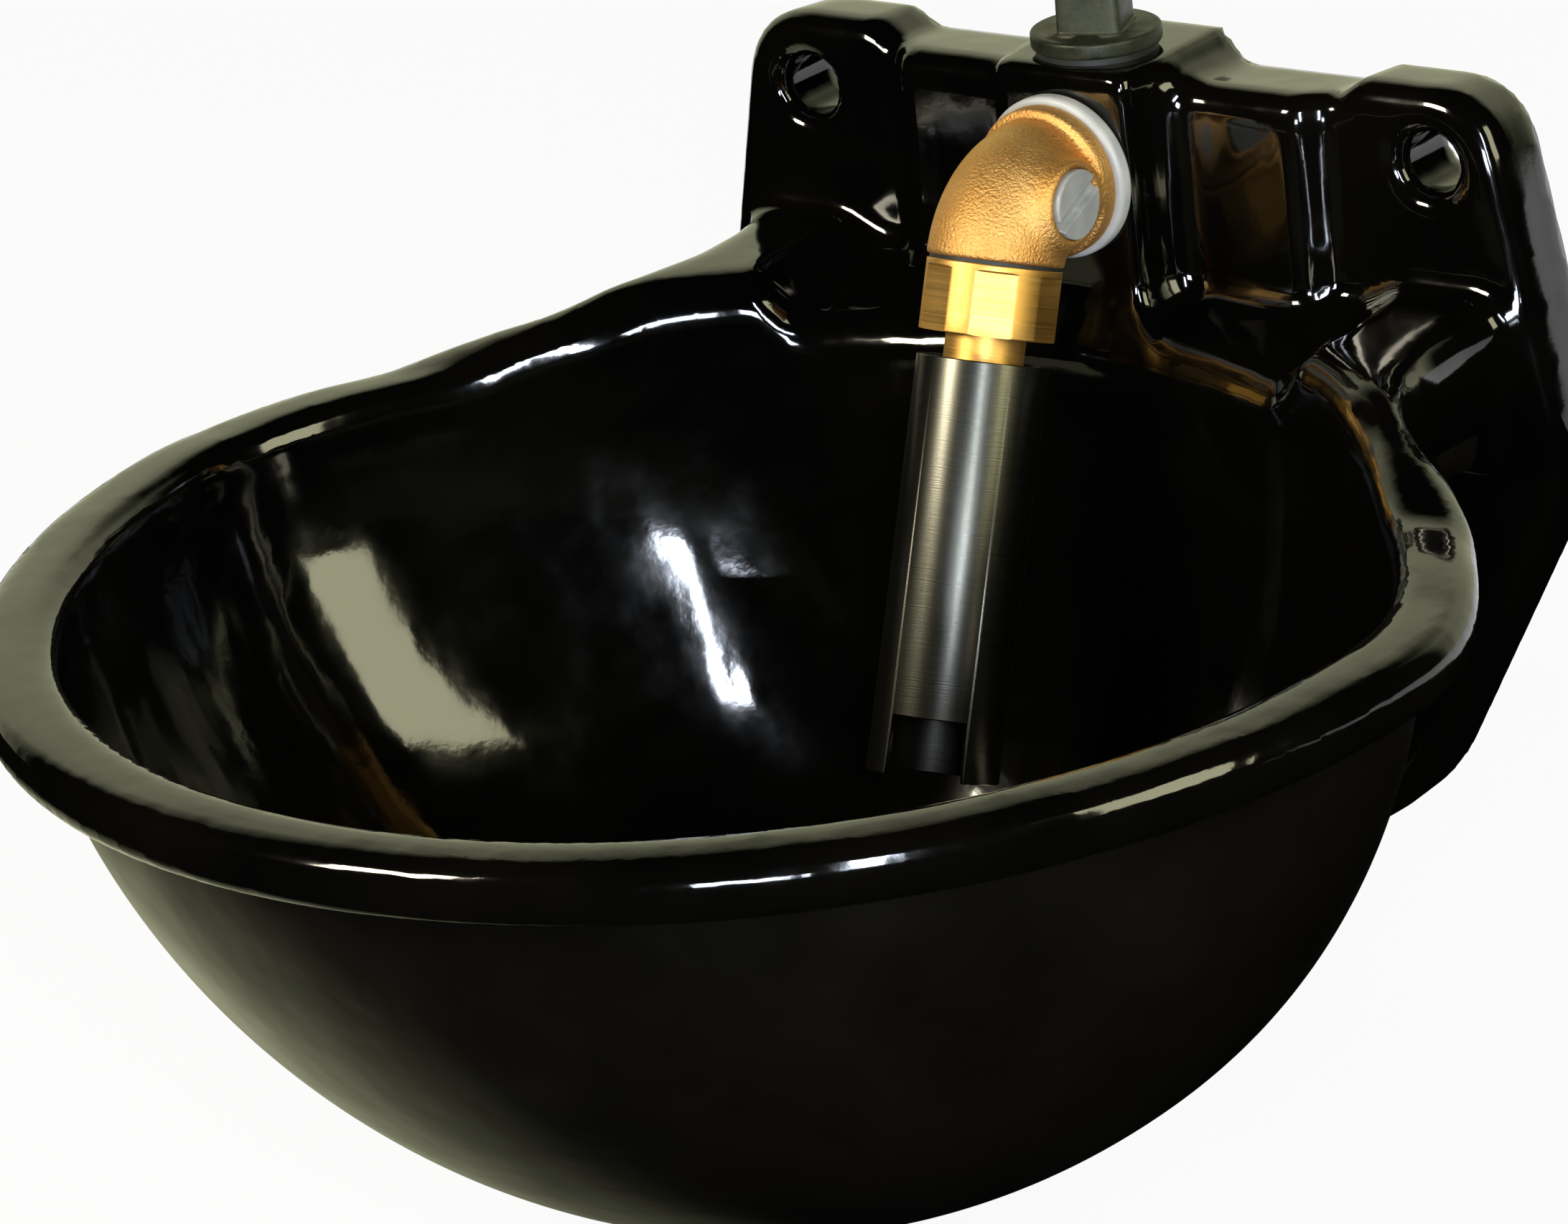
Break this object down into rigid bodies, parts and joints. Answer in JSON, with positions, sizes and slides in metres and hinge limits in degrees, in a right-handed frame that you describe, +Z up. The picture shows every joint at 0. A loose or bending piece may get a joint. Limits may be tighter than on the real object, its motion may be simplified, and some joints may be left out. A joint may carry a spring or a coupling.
{
  "type": "livestock drinking bowl",
  "caption": "Enamelled cast-iron drinking bowl on a two-bolt wall plate, with a brass elbow valve opened by nudging the hanging tube.",
  "frame": {"origin": "midway between the two wall bolts, on the plane of the wall", "axes": "+X to the right seen from the animal's side, +Z up, the bowl stands out towards -Y"},
  "size_m": [0.329, 0.3116, 0.2254],
  "materials": {
    "enamelled_casting": "gloss vitreous enamel inside, semi-matt outside",
    "iron_plug": "rough, dull",
    "black_rubber": "matt",
    "white_plastic": "satin",
    "cast_brass": "as cast, fine grain",
    "machined_brass": "milled and turned, bright",
    "stainless_tube": "brushed lengthwise",
    "spring_steel": "bright drawn",
    "grey_plastic": "satin"
  },
  "bodies": {
    "casting_and_valve": {"bowl_casting": "enamelled_casting", "top_plug": "iron_plug", "top_plug_seal": "black_rubber", "valve_elbow": "cast_brass", "elbow_seal_ring": "white_plastic", "inlet_strainer": "grey_plastic", "seat_nut": "machined_brass", "seat_nut_seal": "black_rubber", "seat_washer": "black_rubber", "return_spring": "spring_steel", "spring_retainer": "machined_brass"},
    "spring_cup": {"spring_cup": "grey_plastic"},
    "tilt_tube": {"valve_ball": "machined_brass", "valve_stem": "machined_brass", "tube_bush": "machined_brass", "stem_locknut": "machined_brass", "lever_tube": "stainless_tube"},
    "flow_screw": {"flow_screw": "machined_brass", "flow_screw_oring": "black_rubber"}
  },
  "joints": [
    {"name": "tube_fore_aft", "type": "hinge", "parent": "casting_and_valve", "child": "spring_cup", "pos_m": [0, -0.06577, -0.01947], "axis": [1, 0, 0], "range_deg": [-8, 8], "stiffness_Nm_per_rad": 4},
    {"name": "tube_sideways", "type": "hinge", "parent": "spring_cup", "child": "tilt_tube", "pos_m": [0, -0.06577, -0.01947], "axis": [0, -0.9397, 0.342], "range_deg": [-8, 8], "stiffness_Nm_per_rad": 4},
    {"name": "flow_screw_turn", "type": "hinge", "parent": "casting_and_valve", "child": "flow_screw", "pos_m": [0, -0.0565, -0.0045], "axis": [1, 0, 0], "range_deg": [0, 90]}
  ]
}
